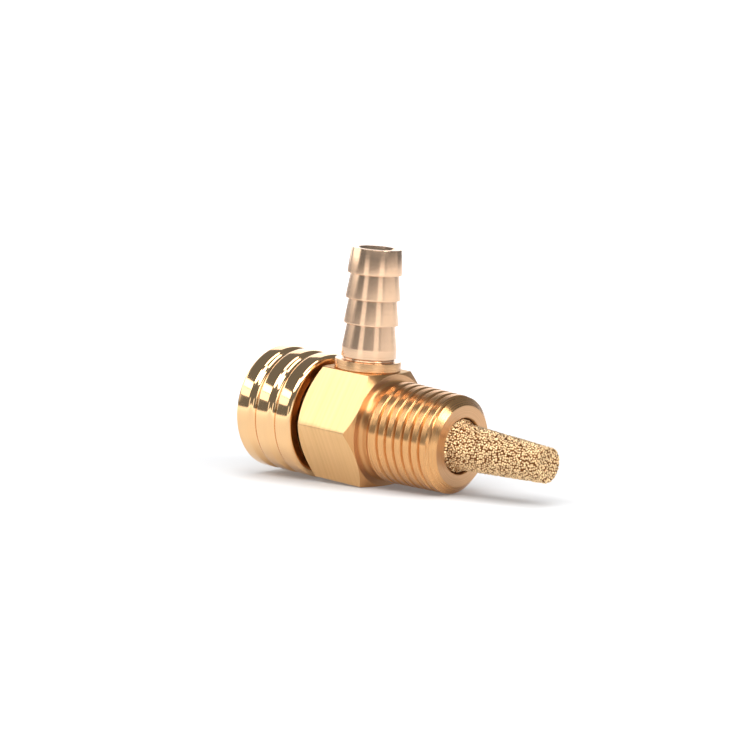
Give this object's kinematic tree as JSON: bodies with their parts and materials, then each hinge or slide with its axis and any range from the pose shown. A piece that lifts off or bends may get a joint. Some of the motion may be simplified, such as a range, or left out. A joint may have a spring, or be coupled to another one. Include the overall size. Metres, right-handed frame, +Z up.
{
  "type": "angle shut-off valve",
  "caption": "Brass angle valve with taper pipe thread, sintered bronze muffler cone, hose barb and polished ribbed knob on a screwed stem.",
  "frame": {"origin": "centre of the hexagon's front shoulder, from which the taper pipe thread stands out", "axes": "+X along the main axis, out of the pipe thread; +Z up, parallel to the hose barb, which stands on the upper hex flat; the knob is at -X"},
  "size_m": [0.048, 0.0178, 0.0331],
  "materials": {
    "brushed_brass": "turned and brushed",
    "sintered_bronze": "porous sintered grains",
    "satin_brass": "satin",
    "turned_brass": "turned",
    "polished_brass": "mirror polished",
    "screw_brass": "turned",
    "spring_steel": "bright",
    "seal_rubber": "moulded"
  },
  "bodies": {
    "valve_body": {"hex_body": "brushed_brass", "sintered_element": "sintered_bronze", "barb_fitting": "satin_brass", "barb_seal": "seal_rubber", "bonnet": "turned_brass", "bonnet_seal": "seal_rubber"},
    "plug": {"seat_plug": "turned_brass", "seat_disc": "seal_rubber", "plug_clip": "spring_steel"},
    "spindle": {"stem": "turned_brass", "front_stem_seal": "seal_rubber", "rear_stem_seal": "seal_rubber", "knob": "polished_brass", "knob_screw": "screw_brass", "lock_washer": "spring_steel"}
  },
  "joints": [
    {"name": "stem_travel", "type": "slide", "parent": "valve_body", "child": "plug", "axis": [-1, 0, 0], "range_m": [0, 0.002]},
    {"name": "knob_turn", "type": "hinge", "parent": "plug", "child": "spindle", "pos_m": [-0.016, 0, 0], "axis": [-1, 0, 0], "range_deg": [0, 900]}
  ],
  "couplings": [
    {"joint": "stem_travel", "follows": "knob_turn", "m_per_rad": 0.00012732}
  ]
}
